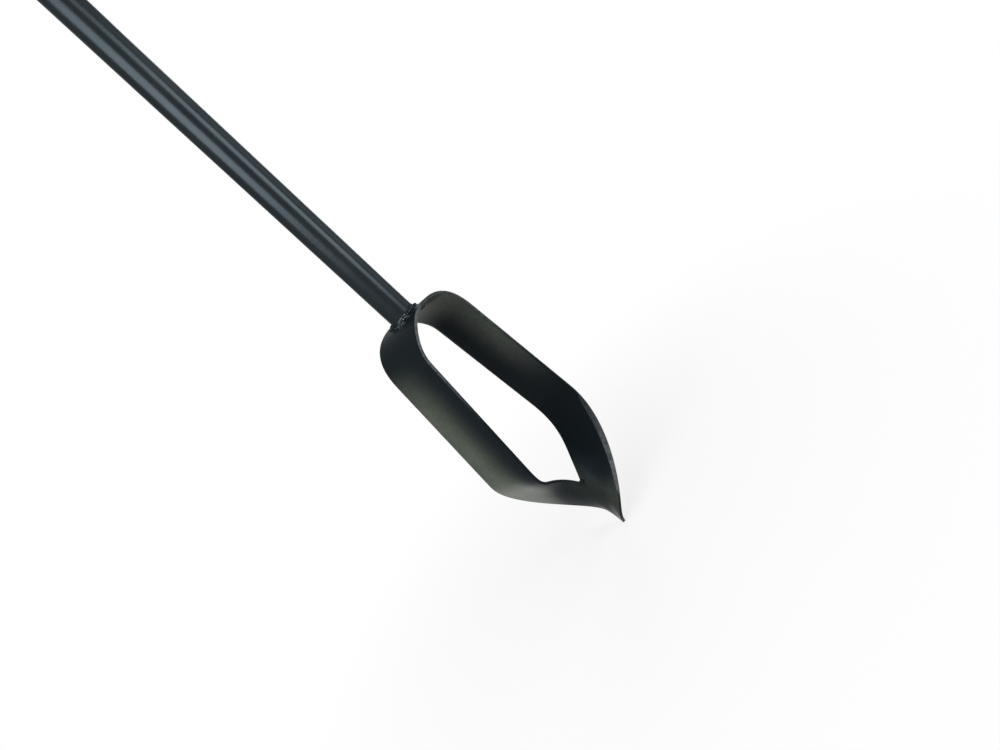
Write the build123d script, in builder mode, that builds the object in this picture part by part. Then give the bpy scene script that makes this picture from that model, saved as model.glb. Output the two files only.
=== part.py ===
# Hand post hole auger: a hoop of two twisted steel blades welded under a tube shaft, with a tee handle.
# Millimetres. The point stands at the origin, +Z runs up the shaft, +X along the crossbar.

import os
from math import cos, pi, radians, sin, sqrt, tan

from build123d import *

os.makedirs("parts", exist_ok=True)

# Whole tool
overall_length = 1100.0
handle_span = 451.0

# Tubes
shaft_diameter = 25.0
shaft_wall = 2.5
crossbar_diameter = 25.0
crossbar_wall = 2.0

# Top of the shaft, pressed from front to back to seat under the crossbar
flat_depth = 12.0
flat_length = 12.0
flat_blend = 29.0
facet_angle = 10.0

# Blade strip and hoop, with the bend measured on the middle of the strip
strip_width = 55.0
strip_thickness = 3.0
hoop_height = 293.5
crown_radius = 40.0
flank_lean = 6.5
hip_height = 135.0
throat_height = 63.0

# Handles of the leading edge curve, from the hip down to the point
lead_ease = 16.0
swing_inward = 30.0
swing_forward = 42.0
swing_drop = 54.0
nose_past_axis = 11.0
nose_forward = 8.5
nose_height = 12.0
beak_past_axis = 14.0
beak_forward = 20.0
beak_height = 26.0

# Handles of the middle of the strip, which let one blade flow into the other along the shaft's axis
middle_ease = 20.0
middle_inward = 14.0
middle_forward = 41.0
middle_drop = 26.0
web_side = 18.0
web_forward = 5.0
web_height = 76.0
fold_side = 6.0
fold_forward = 23.0
fold_height = 43.0
seam_height = 48.0

# Handles of the trailing edge curve, from the hip to the throat
trail_ease = 24.5
trail_inward = 16.5
trail_forward = 19.0
trail_drop = 32.0
bend_side = 21.5
bend_forward = 0.5
bend_rise = 33.0
crotch_side = 14.0
crotch_back = 5.0
crotch_rise = 19.0

# Cutting bevel ground on the inner face, between two shares of the leading edge's length
bevel_width = 7.0
bevel_land = 0.8
bevel_start = 0.06
bevel_end = 0.66
bevel_sections = 9
grinder_margin = 3.0

# Rubber grips
grip_length = 118.0
grip_cap = 4.0
grip_corner_radius = 9.0
grip_wall_at_ends = 2.3
grip_wall_at_middle = 3.6
flange_wall = 5.0
flange_thickness = 4.5
neck_wall = 1.8
neck_width = 5.0
collar_wall = 2.6
collar_width = 2.5
rib_count = 48
rib_depth = 0.45
barrel_sections = 5
round_steps = 4

# Weld beads
tee_bead_leg = 5.5
tee_bead_height = 6.0
tee_bead_lip = 1.0
head_bead_leg = 5.5
seam_bead_radius = 2.6
seam_bead_overhang = 1.2
throat_bead_radius = 3.4
throat_bead_rise = 0.6
throat_bead_overhang = 1.0

# Blank oval sticker on the front of the shaft
label_height = 43.0
label_width = 29.0
label_thickness = 0.25
label_gap = 5.5

# Places that follow from the sizes above
shaft_radius = shaft_diameter / 2
crossbar_radius = crossbar_diameter / 2
flange_radius = crossbar_radius + flange_wall
crossbar_height = overall_length - flange_radius
crossbar_underside = crossbar_height - crossbar_radius
crossbar_length = handle_span - 2 * grip_cap
flat_bottom = crossbar_underside - flat_length
round_top = flat_bottom - flat_blend
flat_width = flat_depth + pi * (shaft_diameter - flat_depth) / 2
crown_centre = hoop_height - strip_thickness / 2 - crown_radius
crown_outer_radius = crown_radius + strip_thickness / 2
crown_inner_radius = crown_radius - strip_thickness / 2
shaft_foot = crown_centre + sqrt(crown_outer_radius**2 - shaft_radius**2)
half_width = strip_width / 2
half_thickness = strip_thickness / 2
flank_down = Vector(sin(radians(flank_lean)), 0, -cos(radians(flank_lean)))
shoulder_x = crown_radius * cos(radians(flank_lean))
shoulder_z = crown_centre + crown_radius * sin(radians(flank_lean))
hip_x = shoulder_x + (shoulder_z - hip_height) * tan(radians(flank_lean))
label_centre = round_top - label_gap - label_height / 2
label_chord = shaft_diameter * sin(label_width / shaft_diameter)

# Right blade: rows of handles of the twisted stretch, from the hip in to the axis of the shaft
lead_hip = Vector(hip_x, -half_width, hip_height)
middle_hip = Vector(hip_x, 0, hip_height)
trail_hip = Vector(hip_x, half_width, hip_height)
lead_handles = [
    lead_hip,
    lead_hip + flank_down * lead_ease,
    lead_hip + Vector(-swing_inward, -swing_forward, -swing_drop),
    Vector(-nose_past_axis, -nose_forward, nose_height),
    Vector(-beak_past_axis, -beak_forward, beak_height),
    Vector(0, 0, 0),
]
middle_handles = [
    middle_hip,
    middle_hip + flank_down * middle_ease,
    middle_hip + Vector(-middle_inward, -middle_forward, -middle_drop),
    Vector(web_side, -web_forward, web_height),
    Vector(fold_side, -fold_forward, fold_height),
    Vector(0, 0, seam_height),
]
trail_handles = [
    trail_hip,
    trail_hip + flank_down * trail_ease,
    trail_hip + Vector(-trail_inward, -trail_forward, -trail_drop),
    Vector(bend_side, -bend_forward, throat_height + bend_rise),
    Vector(crotch_side, crotch_back, throat_height + crotch_rise),
    Vector(0, 0, throat_height),
]
lead_edge = Bezier(*lead_handles)
trail_edge = Bezier(*trail_handles)
twisted_face = Face.make_bezier_surface([lead_handles, middle_handles, trail_handles])


def grinder_plane(share):
    """Plane square to the leading edge: x runs in along the strip, y to its inner face."""
    point = lead_edge @ share
    along = lead_edge % share
    inward = twisted_face.normal_at(point)
    return Plane(origin=point, x_dir=along.cross(inward), z_dir=along)


with BuildPart() as right_blade:
    # Plain bent strip over the crown and down the flank
    with BuildSketch(Plane.XZ):
        with BuildLine():
            outer_crown = CenterArc((0, crown_centre), crown_outer_radius, 90, flank_lean - 90)
            inner_crown = CenterArc((0, crown_centre), crown_inner_radius, 90, flank_lean - 90)
            hip = Vector(hip_x, hip_height)
            outward = Vector(-flank_down.Z, flank_down.X) * half_thickness
            Line(outer_crown @ 1, hip + outward)
            Line(hip + outward, hip - outward)
            Line(hip - outward, inner_crown @ 1)
            Line(inner_crown @ 0, outer_crown @ 0)
        make_face()
    extrude(amount=half_width, both=True)
    # Below the hip the strip twists forward and in to the point
    thicken(twisted_face, amount=half_thickness, both=True)
    # Bevel: a flat grind that sinks into the leading edge and runs out again
    bevel_rise = strip_thickness - bevel_land
    bevel_slope = Vector(bevel_width, bevel_rise).normalized() * grinder_margin
    for step in range(bevel_sections):
        run = step / (bevel_sections - 1)
        depth = sin(pi * run)
        inner_end = Vector(bevel_width * depth, half_thickness) + bevel_slope
        outer_end = Vector(0, half_thickness - bevel_rise * depth) - bevel_slope
        with BuildSketch(grinder_plane(bevel_start + (bevel_end - bevel_start) * run)):
            with BuildLine():
                Polyline(inner_end, outer_end, (outer_end.X, inner_end.Y), close=True)
            make_face()
    loft(mode=Mode.SUBTRACT)
right_blade.part.label = "right_blade"
export_step(right_blade.part, "parts/right_blade.step")

# Left blade: the same blade after half a turn about the shaft
with BuildPart() as left_blade:
    add(right_blade.part.rotate(Axis.Z, 180))
left_blade.part.label = "left_blade"
export_step(left_blade.part, "parts/left_blade.step")


def round_outline(radius):
    """Circle in four arcs: narrow ones front and back, which open into the flats above."""
    side_angle = 180 - 2 * facet_angle
    CenterArc((0, 0), radius, 270 - facet_angle, 2 * facet_angle)
    CenterArc((0, 0), radius, 270 + facet_angle, side_angle)
    CenterArc((0, 0), radius, 90 - facet_angle, 2 * facet_angle)
    CenterArc((0, 0), radius, 90 + facet_angle, side_angle)


def flat_outline(width, depth):
    """Pressed tube, which keeps its girth: two flats joined by half rounds."""
    run = (width - depth) / 2
    Line((-run, -depth / 2), (run, -depth / 2))
    ThreePointArc((run, -depth / 2), (width / 2, 0), (run, depth / 2))
    Line((run, depth / 2), (-run, depth / 2))
    ThreePointArc((-run, depth / 2), (-width / 2, 0), (-run, -depth / 2))


# Shaft: round tube, coped on the crown below, flattened and coped under the crossbar above
with BuildPart() as shaft_tube:
    for inset, fill in ((0, Mode.ADD), (shaft_wall, Mode.SUBTRACT)):
        with BuildSketch(Plane.XY.offset(shaft_foot)):
            Circle(shaft_radius - inset)
        extrude(amount=round_top - shaft_foot, mode=fill)
        with BuildSketch(Plane.XY.offset(round_top)):
            with BuildLine():
                round_outline(shaft_radius - inset)
            make_face()
        with BuildSketch(Plane.XY.offset(flat_bottom)):
            with BuildLine():
                flat_outline(flat_width - 2 * inset, flat_depth - 2 * inset)
            make_face()
        loft(ruled=True, mode=fill)
        with BuildSketch(Plane.XY.offset(flat_bottom)):
            with BuildLine():
                flat_outline(flat_width - 2 * inset, flat_depth - 2 * inset)
            make_face()
        extrude(amount=crossbar_height - flat_bottom, mode=fill)
    with Locations((0, 0, crossbar_height)):
        Cylinder(crossbar_radius, handle_span, rotation=(0, 90, 0), mode=Mode.SUBTRACT)
    with Locations((0, 0, crown_centre)):
        Cylinder(crown_outer_radius, strip_width, rotation=(90, 0, 0), mode=Mode.SUBTRACT)
shaft_tube.part.label = "shaft_tube"
export_step(shaft_tube.part, "parts/shaft_tube.step")

# Crossbar: plain round tube, open at both ends inside the grips
with BuildPart() as crossbar_tube:
    with BuildSketch(Plane.YZ.offset(-crossbar_length / 2)):
        with Locations((0, crossbar_height)):
            Circle(crossbar_radius)
            Circle(crossbar_radius - crossbar_wall, mode=Mode.SUBTRACT)
    extrude(amount=crossbar_length)
crossbar_tube.part.label = "crossbar_tube"
export_step(crossbar_tube.part, "parts/crossbar_tube.step")


def ribbed_outline(crest):
    """Star of fine lengthwise ribs, with valleys a rib depth below the crests."""
    points = []
    for step in range(2 * rib_count):
        radius = crest - rib_depth * (step % 2)
        angle = pi * step / rib_count
        points.append((radius * cos(angle), radius * sin(angle)))
    Polyline(*points, close=True)


def stepped_round(centre, height, radius, first, last):
    """Points of an arc in a few straight steps, from one angle to another."""
    angles = [radians(first + (last - first) * step / round_steps) for step in range(round_steps + 1)]
    return [(centre + radius * cos(angle), height + radius * sin(angle)) for angle in angles]


# Grips: closed rubber sleeves with a bead flange, a neck, a collar and a ribbed barrel
barrel_start = flange_thickness + neck_width + collar_width
barrel_end = grip_length - grip_corner_radius
barrel_end_radius = crossbar_radius + grip_wall_at_ends
barrel_middle_radius = crossbar_radius + grip_wall_at_middle
barrel_core_radius = barrel_end_radius - 2 * rib_depth
corner_foot = barrel_end_radius - rib_depth - grip_corner_radius
neck_radius = crossbar_radius + neck_wall
neck_end = flange_thickness + neck_width
collar_radius = crossbar_radius + collar_wall
flange_round = flange_thickness / 2

for side, grip_name in ((1, "right_grip"), (-1, "left_grip")):
    grip_inner_end = Vector(side * (handle_span / 2 - grip_length), 0, crossbar_height)
    grip_axis = Plane(origin=grip_inner_end, x_dir=(0, 1, 0), z_dir=(side, 0, 0))
    grip_half = Plane(origin=grip_inner_end, x_dir=(side, 0, 0), z_dir=(0, -side, 0))
    with BuildPart() as grip:
        with BuildSketch(grip_half):
            with BuildLine():
                Polyline(
                    (0, 0),
                    *stepped_round(flange_round, flange_radius - flange_round, flange_round, 180, 0),
                    (flange_thickness, neck_radius),
                    (neck_end, neck_radius),
                    (neck_end, collar_radius),
                    (barrel_start, collar_radius),
                    (barrel_start, barrel_core_radius),
                    (barrel_end, barrel_core_radius),
                    *stepped_round(barrel_end, corner_foot, grip_corner_radius, 90, 0),
                    (grip_length, 0),
                    close=True,
                )
            make_face()
        revolve(axis=Axis(grip_inner_end, (side, 0, 0)))
        for step in range(barrel_sections):
            run = step / (barrel_sections - 1)
            swell = (barrel_middle_radius - barrel_end_radius) * sin(pi * run)
            with BuildSketch(grip_axis.offset(barrel_start + (barrel_end - barrel_start) * run)):
                with BuildLine():
                    ribbed_outline(barrel_end_radius + swell)
                make_face()
        loft(ruled=True)
        with BuildSketch(grip_axis):
            Circle(crossbar_radius)
        extrude(amount=grip_length - grip_cap, mode=Mode.SUBTRACT)
    grip.part.label = grip_name
    export_step(grip.part, f"parts/{grip_name}.step")

# Tee weld: a fat bead round the flattened shaft, under the crossbar
with BuildPart() as tee_weld:
    bead_shoulder = crossbar_underside - tee_bead_lip
    bead_width = flat_width + 2 * tee_bead_leg
    bead_depth = flat_depth + 2 * tee_bead_leg
    with BuildSketch(Plane.XY.offset(crossbar_underside - tee_bead_height)):
        with BuildLine():
            flat_outline(flat_width, flat_depth)
        make_face()
    with BuildSketch(Plane.XY.offset(bead_shoulder)):
        with BuildLine():
            flat_outline(bead_width, bead_depth)
        make_face()
    loft(ruled=True)
    with BuildSketch(Plane.XY.offset(bead_shoulder)):
        with BuildLine():
            flat_outline(bead_width, bead_depth)
        make_face()
    extrude(amount=tee_bead_lip + tee_bead_leg)
    with BuildSketch(Plane.XY.offset(flat_bottom)):
        with BuildLine():
            flat_outline(flat_width, flat_depth)
        make_face()
    extrude(amount=crossbar_height - flat_bottom, mode=Mode.SUBTRACT)
    with Locations((0, 0, crossbar_height)):
        Cylinder(crossbar_radius, handle_span, rotation=(0, 90, 0), mode=Mode.SUBTRACT)
tee_weld.part.label = "tee_weld"
export_step(tee_weld.part, "parts/tee_weld.step")

# Head weld: a fillet bead round the foot of the shaft, on the curved crown
with BuildPart() as head_weld:
    with BuildSketch(Plane.XZ):
        with BuildLine():
            Polyline(
                (shaft_radius, hoop_height + head_bead_leg),
                (shaft_radius, hoop_height - head_bead_leg),
                (shaft_radius + head_bead_leg, hoop_height - head_bead_leg),
                (shaft_radius + head_bead_leg, hoop_height - head_bead_leg / 2),
                close=True,
            )
        make_face()
    revolve(axis=Axis.Z)
    with Locations((0, 0, crown_centre)):
        Cylinder(crown_outer_radius, strip_width, rotation=(90, 0, 0), mode=Mode.SUBTRACT)
head_weld.part.label = "head_weld"
export_step(head_weld.part, "parts/head_weld.step")

# Crown seam weld: a bead under the butt joint of the two blades, ending just past their edges
with BuildPart() as crown_seam_weld:
    with Locations((0, 0, crown_centre + crown_inner_radius)):
        Cylinder(seam_bead_radius, strip_width + 2 * seam_bead_overhang, rotation=(90, 0, 0))
    with Locations((0, 0, crown_centre)):
        Cylinder(crown_inner_radius, 2 * strip_width, rotation=(90, 0, 0), mode=Mode.INTERSECT)
crown_seam_weld.part.label = "crown_seam_weld"
export_step(crown_seam_weld.part, "parts/crown_seam_weld.step")

# Throat weld: a short bead laid through the crotch where the trailing edges meet
throat_normal = (trail_edge % 1).cross(Vector(0, 0, 1))
throat_plane = Plane(origin=(0, 0, throat_height + throat_bead_rise), z_dir=throat_normal)
with BuildPart() as throat_weld:
    with BuildSketch(throat_plane):
        Circle(throat_bead_radius)
    extrude(amount=half_thickness + throat_bead_overhang, both=True)
    add(right_blade.part, mode=Mode.SUBTRACT)
    add(left_blade.part, mode=Mode.SUBTRACT)
throat_weld.part.label = "throat_weld"
export_step(throat_weld.part, "parts/throat_weld.step")

# Label: a thin blank oval wrapped on the front of the round shaft
with BuildPart() as label:
    with BuildSketch(Plane.XZ):
        with Locations((0, label_centre)):
            Ellipse(label_chord / 2, label_height / 2)
    extrude(amount=shaft_diameter)
    with Locations((0, 0, label_centre)):
        Cylinder(shaft_radius + label_thickness, 2 * label_height, mode=Mode.INTERSECT)
        Cylinder(shaft_radius, 2 * label_height, mode=Mode.SUBTRACT)
label.part.label = "label"
export_step(label.part, "parts/label.step")
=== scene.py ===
# Hand post hole auger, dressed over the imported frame. Metres, point at the origin, shaft up +Z.
import math

import bmesh
import bpy
import numpy as np
from mathutils import Matrix, Vector


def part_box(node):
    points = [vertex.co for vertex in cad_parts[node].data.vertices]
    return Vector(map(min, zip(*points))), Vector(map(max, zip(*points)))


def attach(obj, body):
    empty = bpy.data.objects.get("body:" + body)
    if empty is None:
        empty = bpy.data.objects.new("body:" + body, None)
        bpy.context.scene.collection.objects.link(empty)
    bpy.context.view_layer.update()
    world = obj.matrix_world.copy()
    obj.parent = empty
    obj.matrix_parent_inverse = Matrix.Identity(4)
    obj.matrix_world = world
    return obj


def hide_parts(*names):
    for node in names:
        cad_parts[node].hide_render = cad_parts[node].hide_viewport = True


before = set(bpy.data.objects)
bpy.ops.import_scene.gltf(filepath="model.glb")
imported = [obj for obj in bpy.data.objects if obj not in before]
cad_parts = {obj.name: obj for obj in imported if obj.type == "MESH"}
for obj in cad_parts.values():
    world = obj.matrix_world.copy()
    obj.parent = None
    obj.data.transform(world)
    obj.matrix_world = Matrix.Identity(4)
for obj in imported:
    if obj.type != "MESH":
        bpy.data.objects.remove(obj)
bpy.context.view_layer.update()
print("frame loaded:", len(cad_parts), "nodes")

# Places read from the frame
barLow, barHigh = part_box("crossbar_tube")
labelLow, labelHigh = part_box("label")
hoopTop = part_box("right_blade")[1].z
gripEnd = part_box("right_grip")[1].x
barRadius = (barHigh.z - barLow.z) / 2
barHeight = (barHigh.z + barLow.z) / 2


def addObject(name, data):
    made = bpy.data.objects.new(name, data)
    bpy.context.scene.collection.objects.link(made)
    return made


# Photograph's camera: where it stands and how it is turned
photoCamera = {
    "eye": (-0.36010, -0.43663, 0.35269),
    "right": (0.384260, -0.601767, -0.700158),
    "down": (-0.665980, 0.344548, -0.661632),
    "view": (0.639386, 0.720530, -0.268369),
    "focalPixels": 650.0, "imageWidth": 1000.0, "sensorWidth": 36.0, "clipStart": 0.01,
}


def addCamera():
    lens = bpy.data.cameras.new("photoCamera")
    lens.sensor_width = photoCamera["sensorWidth"]
    lens.lens = photoCamera["focalPixels"] / photoCamera["imageWidth"] * photoCamera["sensorWidth"]
    lens.clip_start = photoCamera["clipStart"]
    lens.dof.use_dof = False
    camera = addObject("photoCamera", lens)
    turn = Matrix([photoCamera["right"], photoCamera["down"], photoCamera["view"]]).transposed()
    turn = turn @ Matrix.Diagonal((1, -1, -1))  # Blender looks along -Z with +Y up
    camera.matrix_world = Matrix.Translation(photoCamera["eye"]) @ turn.to_4x4()
    bpy.context.scene.camera = camera


addCamera()
print("camera set")


# Node sockets that do arithmetic
class Wire:
    def __init__(self, tree, socket=None):
        self.tree = tree
        self.socket = socket

    def node(self, kind, links=None, out=0, **settings):
        made = self.tree.nodes.new(kind)
        for key, value in settings.items():
            setattr(made, key, value)
        for key, value in (links or {}).items():
            self.join(value, self.find(made.inputs, key))
        return Wire(self.tree, self.find(made.outputs, out))

    def find(self, sockets, key):
        if isinstance(key, int):
            return sockets[key]
        return next(s for s in sockets if s.name == key and s.enabled)

    def join(self, value, socket):
        if isinstance(value, Wire):
            self.tree.links.new(value.socket, socket)
        else:
            socket.default_value = value

    def math(self, operation, first, second=0.0):
        return self.node("ShaderNodeMath", {0: first, 1: second}, operation=operation)

    def __add__(self, other):
        return self.math("ADD", self, other)

    def __radd__(self, other):
        return self.math("ADD", other, self)

    def __sub__(self, other):
        return self.math("SUBTRACT", self, other)

    def __rsub__(self, other):
        return self.math("SUBTRACT", other, self)

    def __mul__(self, other):
        return self.math("MULTIPLY", self, other)

    def __rmul__(self, other):
        return self.math("MULTIPLY", other, self)

    def __truediv__(self, other):
        return self.math("DIVIDE", self, other)

    def __rtruediv__(self, other):
        return self.math("DIVIDE", other, self)

    def __pow__(self, other):
        return self.math("POWER", self, other)

    def __rpow__(self, other):
        return self.math("POWER", other, self)

    def clamp(self):
        return self.node("ShaderNodeClamp", {"Value": self})

    def ramp(self, low, high):  # 0 below low, 1 above high, eased between
        return self.node("ShaderNodeMapRange", {"Value": self, "From Min": low, "From Max": high},
                         interpolation_type="SMOOTHSTEP")

    def atLeast(self, least):  # a mask from 0 to 1 lifted to run from least to 1
        return least + self * (1 - least)

    def mixColour(self, first, second):  # this socket is the share of the second colour
        links = {"Factor": self, "A": first, "B": second}
        return self.node("ShaderNodeMix", links, "Result", data_type="RGBA")


def colour(red, green, blue):
    return (red, green, blue, 1.0)


def grey(level):
    return colour(level, level, level)


def emptyTree(owner):
    owner.use_nodes = True
    owner.node_tree.nodes.clear()
    return owner.node_tree


def startMaterial(name):
    material = bpy.data.materials.new(name)
    tree = emptyTree(material)
    output = tree.nodes.new("ShaderNodeOutputMaterial")
    shader = tree.nodes.new("ShaderNodeBsdfPrincipled")
    tree.links.new(shader.outputs["BSDF"], output.inputs["Surface"])
    wire = Wire(tree)
    place = wire.node("ShaderNodeTexCoord", out="Object")
    return material, shader, wire, place


def fillShader(wire, shader, values):  # links what changes over the surface, sets what is the same all over
    for name, value in values.items():
        wire.join(value, shader.inputs[name])


def noise(wire, place, scale, detail=2.0, rough=0.5, stretch=None):
    if stretch:
        place = wire.node("ShaderNodeMapping", {"Vector": place, "Scale": stretch}, "Vector")
    return wire.node("ShaderNodeTexNoise",
                     {"Vector": place, "Scale": scale, "Detail": detail, "Roughness": rough})


def mask(wire, place, grain, span):  # a noise that comes in over a span of its values
    return noise(wire, place, *grain).ramp(*span)


def attribute(wire, name):
    return wire.node("ShaderNodeAttribute", out="Fac", attribute_name=name)


def bump(wire, height, strength, depth, under=None):
    links = {"Strength": strength, "Distance": depth, "Height": height}
    if under:
        links["Normal"] = under
    return wire.node("ShaderNodeBump", links, "Normal")


# Surface of all the steel. A noise is its scale, detail, roughness and stretch, a mask a noise and its span
steelGrain = {
    "mottle": (260.0, 4.0, 0.6), "grain": (2600.0, 2.0, 0.6), "peel": (420.0, 1.0),
    "scuffs": ((90.0, 5.0, 0.72, (1.0, 1.0, 0.35)), (0.60, 0.74)), "scuffMottle": (0.46, 0.70),
    "peelDepth": 0.0008, "grainDepth": 0.0002,
}


def steelNoises(wire, place):
    mottle, grain, peel = [noise(wire, place, *steelGrain[key]) for key in ("mottle", "grain", "peel")]
    scuffs = mask(wire, place, *steelGrain["scuffs"]) * mottle.ramp(*steelGrain["scuffMottle"])
    return mottle, grain, peel, scuffs


def steelNormal(wire, paint, peel, grain):
    soft = bump(wire, peel, paint["peel"], steelGrain["peelDepth"])
    return bump(wire, grain, paint["grain"], steelGrain["grainDepth"], soft)


# Dark finish of the tubes and welds: near black blue, soft gloss, a fine grain and rims that stay dark
darkSteel = {
    "metal": 1.0, "patches": ((22.0, 3.0), (0.38, 0.66)), "speckSpan": (0.62, 0.80), "speckShare": 0.10,
    "scuffRough": 0.2,
}
tubePaint = {
    "base": colour(0.0192, 0.0244, 0.0282), "patch": colour(0.0222, 0.0274, 0.0310),
    "scuff": colour(0.040, 0.045, 0.045), "scuffShare": 0.06, "tint": colour(0.54, 0.56, 0.56),
    "gloss": 0.25, "glossSwing": 0.06, "peel": 0.05, "grain": 0.08,
}
weldPaint = {
    "base": colour(0.0180, 0.0222, 0.0258), "patch": colour(0.0240, 0.0285, 0.0320),
    "scuff": colour(0.048, 0.054, 0.056), "scuffShare": 0.14, "tint": colour(0.40, 0.42, 0.44),
    "gloss": 0.26, "glossSwing": 0.14, "peel": 0.30, "grain": 0.30,
    "bare": colour(0.085, 0.096, 0.104), "bareLeast": 0.35, "bareSpan": (0.40, 0.58),
}


def paintedSteel(name, paint):
    material, shader, wire, place = startMaterial(name)
    patches = mask(wire, place, *darkSteel["patches"])
    mottle, grain, peel, scuffs = steelNoises(wire, place)
    scuffs = scuffs * paint["scuffShare"]
    specks = grain.ramp(*darkSteel["speckSpan"]) * darkSteel["speckShare"]
    tone = patches.mixColour(paint["base"], paint["patch"])
    tone = (scuffs + specks).clamp().mixColour(tone, paint["scuff"])
    if "bare" in paint:
        bare = attribute(wire, "bare") * mottle.ramp(*paint["bareSpan"]).atLeast(paint["bareLeast"])
        tone = bare.mixColour(tone, paint["bare"])
    swing = paint["glossSwing"]
    rough = paint["gloss"] - swing / 2 + mottle * swing + patches * (swing / 2)
    rough = (rough + scuffs * darkSteel["scuffRough"]).clamp()
    fillShader(wire, shader, {
        "Base Color": tone, "Roughness": rough, "Metallic": darkSteel["metal"],
        "Specular Tint": paint["tint"], "Normal": steelNormal(wire, paint, peel, grain)})
    return material


# Blade paint: the same black, kept dull inside the hoop as painted shade, rubbed to an olive satin towards
# the cutting edge, the rub also painting highlights where faces turn to the lamps
bladePaint = {
    "dull": colour(0.0064, 0.0098, 0.0120), "rubbedSheen": colour(0.087, 0.104, 0.074),
    "scuff": colour(0.046, 0.050, 0.046), "edge": colour(0.092, 0.101, 0.106),
    "patches": (26.0, 3.0), "rubSheenLeast": 0.44, "rubSheenPatches": 0.60, "rubSheenMottle": 0.52, "rubSheenPower": 1.5,
    "scuffShare": 0.20, "speckSpan": (0.60, 0.76), "speckShare": 0.14, "edgeLeast": 0.45,
    "edgeSpan": (0.36, 0.60), "gloss": 0.34, "mottleRough": 0.10, "scuffRough": 0.15, "specular": 0.03,
    "tint": colour(0.72, 0.90, 1.0), "coatRough": 0.30, "coatRubbedSheen": 0.52, "coatWornSheen": 0.06, "peel": 0.10,
    "grain": 0.22,
}


def rubbedSheenSteel(name):
    paint = bladePaint
    material, shader, wire, place = startMaterial(name)
    patches = noise(wire, place, *paint["patches"])
    mottle, grain, peel, scuffs = steelNoises(wire, place)
    specks = grain.ramp(*paint["speckSpan"]) * paint["speckShare"]
    # polish: rubbed paint that also paints highlights and shade; edge wear: bare edges with painted light on
    # edge faces and the bevel
    polishAndSheen, wearAndSheen = attribute(wire, "polishAndSheen"), attribute(wire, "edgeWear")
    uneven = paint["rubSheenLeast"] + patches * paint["rubSheenPatches"] + mottle * paint["rubSheenMottle"]
    rubbedSheen = (polishAndSheen * uneven).clamp()
    bare = (wearAndSheen * mottle.ramp(*paint["edgeSpan"]).atLeast(paint["edgeLeast"])).clamp()
    tone = (rubbedSheen ** paint["rubSheenPower"]).mixColour(paint["dull"], paint["rubbedSheen"])
    tone = (scuffs * paint["scuffShare"] + specks).clamp().mixColour(tone, paint["scuff"])
    rough = paint["gloss"] + mottle * paint["mottleRough"] + scuffs * paint["scuffRough"]
    coat = rubbedSheen * paint["coatRubbedSheen"] + wearAndSheen * paint["coatWornSheen"]
    fillShader(wire, shader, {
        "Base Color": bare.mixColour(tone, paint["edge"]), "Roughness": rough.clamp(),
        "Specular IOR Level": paint["specular"], "Specular Tint": paint["tint"],
        "Coat Weight": coat.clamp(), "Coat Roughness": paint["coatRough"],
        "Normal": steelNormal(wire, paint, peel, grain)})
    return material


# Grip rubber: matt black with a brown-green bloom, a moulded grain and painted shade in the grooves between
# the ribs
gripRubber = {
    "base": colour(0.0175, 0.0175, 0.0146), "bloom": colour(0.0305, 0.0305, 0.0242),
    "rub": colour(0.052, 0.052, 0.044), "grooveShade": colour(0.0040, 0.0040, 0.0034),
    "bloomMask": ((34.0, 4.0, 0.6), (0.34, 0.70)), "bloomRough": 0.12,
    "rubMask": ((150.0, 5.0, 0.7, (0.2, 1.0, 1.0)), (0.60, 0.78)), "rubSheenShare": 0.35, "rubShine": 0.08,
    "grooveShadeShare": 0.95, "gloss": 0.66, "specular": 0.10,
    "grainNoise": (2100.0, 2.0), "grain": 0.35, "grainDepth": 0.0002,
}


def mouldedRubber(name):
    rubber = gripRubber
    material, shader, wire, place = startMaterial(name)
    bloom, rub = [mask(wire, place, *rubber[key]) for key in ("bloomMask", "rubMask")]
    grain = noise(wire, place, *rubber["grainNoise"])
    tone = bloom.mixColour(rubber["base"], rubber["bloom"])
    tone = (rub * rubber["rubSheenShare"]).mixColour(tone, rubber["rub"])
    # painted shade in the grooves
    tone = (attribute(wire, "grooveShade") * rubber["grooveShadeShare"]).mixColour(tone, rubber["grooveShade"])
    rough = rubber["gloss"] - rubber["bloomRough"] / 2 + bloom * rubber["bloomRough"]
    fillShader(wire, shader, {
        "Base Color": tone, "Roughness": (rough - rub * rubber["rubShine"]).clamp(),
        "Specular IOR Level": rubber["specular"],
        "Normal": bump(wire, grain, rubber["grain"], rubber["grainDepth"])})
    return material


# Blank sticker: white satin film with a little dirt
stickerFilm = {
    "white": colour(0.74, 0.75, 0.74), "dirt": colour(0.46, 0.45, 0.41), "gloss": 0.55, "specular": 0.10,
    "smudges": ((120.0, 5.0, 0.65), (0.56, 0.82)), "smudgeShare": 0.16, "smudgeRough": 0.2, "rimShare": 0.5,
    "specks": ((1500.0, 2.0), (0.70, 0.78)), "speckShare": 0.20,
    "ripple": (240.0, 2.0), "rippleStrength": 0.08, "rippleDepth": 0.0005,
}


def whiteFilm(name):
    film = stickerFilm
    material, shader, wire, place = startMaterial(name)
    smudges, specks = [mask(wire, place, *film[key]) for key in ("smudges", "specks")]
    rim = attribute(wire, "edgeWear") * smudges
    dirt = smudges * film["smudgeShare"] + specks * film["speckShare"] + rim * film["rimShare"]
    ripple = noise(wire, place, *film["ripple"])
    fillShader(wire, shader, {
        "Base Color": dirt.clamp().mixColour(film["white"], film["dirt"]),
        "Roughness": (film["gloss"] + smudges * film["smudgeRough"]).clamp(),
        "Specular IOR Level": film["specular"],
        "Normal": bump(wire, ripple, film["rippleStrength"], film["rippleDepth"])})
    return material


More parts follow.
